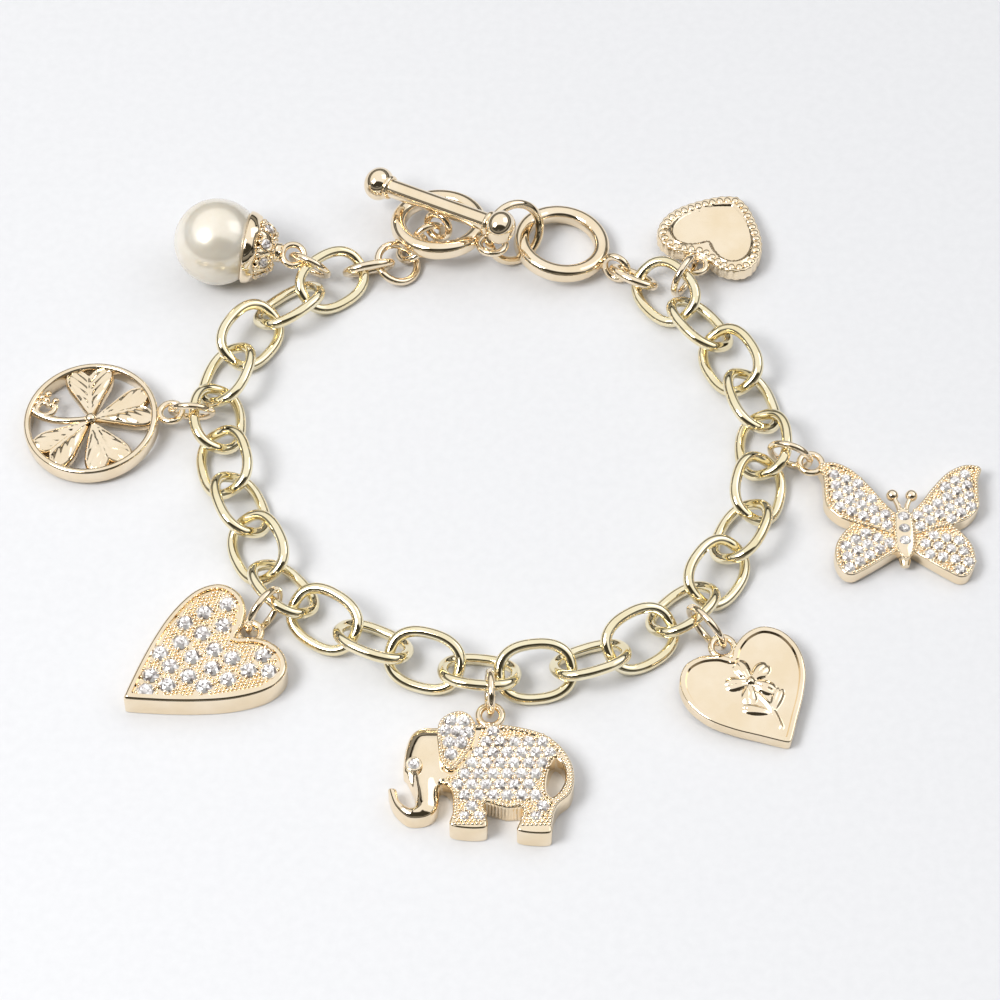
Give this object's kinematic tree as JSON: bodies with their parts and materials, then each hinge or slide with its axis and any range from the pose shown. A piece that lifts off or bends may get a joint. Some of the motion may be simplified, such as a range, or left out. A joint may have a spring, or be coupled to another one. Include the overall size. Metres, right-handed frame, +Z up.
{
  "type": "charm bracelet",
  "caption": "Cable-chain charm bracelet with a ring and bar toggle clasp, a pearl drop and flat jewelled charms, laid open in a closed loop.",
  "frame": {"origin": "centre of the bounding box on the surface that the bracelet lies on", "axes": "+Z up from the surface; +X along the longest extent, from the clover to the butterfly; +Y from the elephant towards the clasp"},
  "size_m": [0.1113, 0.0902, 0.0104],
  "materials": {
    "chain_gold": "polished pale yellow gold plating",
    "warm_gold": "polished warm champagne gold plating, with clear cut stones on the set charms",
    "pearl": "cream imitation pearl with a soft lustre"
  },
  "bodies": {
    "root": {"chain_link_01": "chain_gold", "chain_link_02": "chain_gold", "chain_link_03": "chain_gold", "chain_link_04": "chain_gold", "chain_link_05": "chain_gold", "chain_link_06": "chain_gold", "chain_link_07": "chain_gold", "chain_link_08": "chain_gold", "chain_link_09": "chain_gold", "chain_link_10": "chain_gold", "chain_link_11": "chain_gold", "chain_link_12": "chain_gold", "chain_link_13": "chain_gold", "chain_link_14": "chain_gold", "chain_link_15": "chain_gold", "chain_link_16": "chain_gold", "chain_link_17": "chain_gold", "chain_link_18": "chain_gold", "chain_link_19": "chain_gold", "chain_link_20": "chain_gold", "chain_link_21": "chain_gold", "chain_link_22": "chain_gold", "chain_link_23": "chain_gold", "chain_link_24": "chain_gold", "chain_link_25": "chain_gold", "end_link_left": "warm_gold", "end_link_right": "warm_gold", "end_ring_left": "warm_gold", "bar_ring_1": "warm_gold", "bar_ring_2": "warm_gold", "toggle_bar": "warm_gold", "toggle_ring_inner": "warm_gold", "toggle_ring_outer": "warm_gold", "joining_ring": "warm_gold", "pearl_cap": "warm_gold", "clover_charm": "warm_gold", "pave_heart_charm": "warm_gold", "elephant_charm": "warm_gold", "medal_heart_charm": "warm_gold", "butterfly_charm": "warm_gold", "plain_heart_charm": "warm_gold", "pearl_ring": "warm_gold", "clover_ring": "warm_gold", "pave_heart_ring": "warm_gold", "elephant_ring": "warm_gold", "medal_heart_ring": "warm_gold", "butterfly_ring": "warm_gold", "plain_heart_ring": "warm_gold", "pearl_bead": "pearl"}
  },
  "joints": []
}
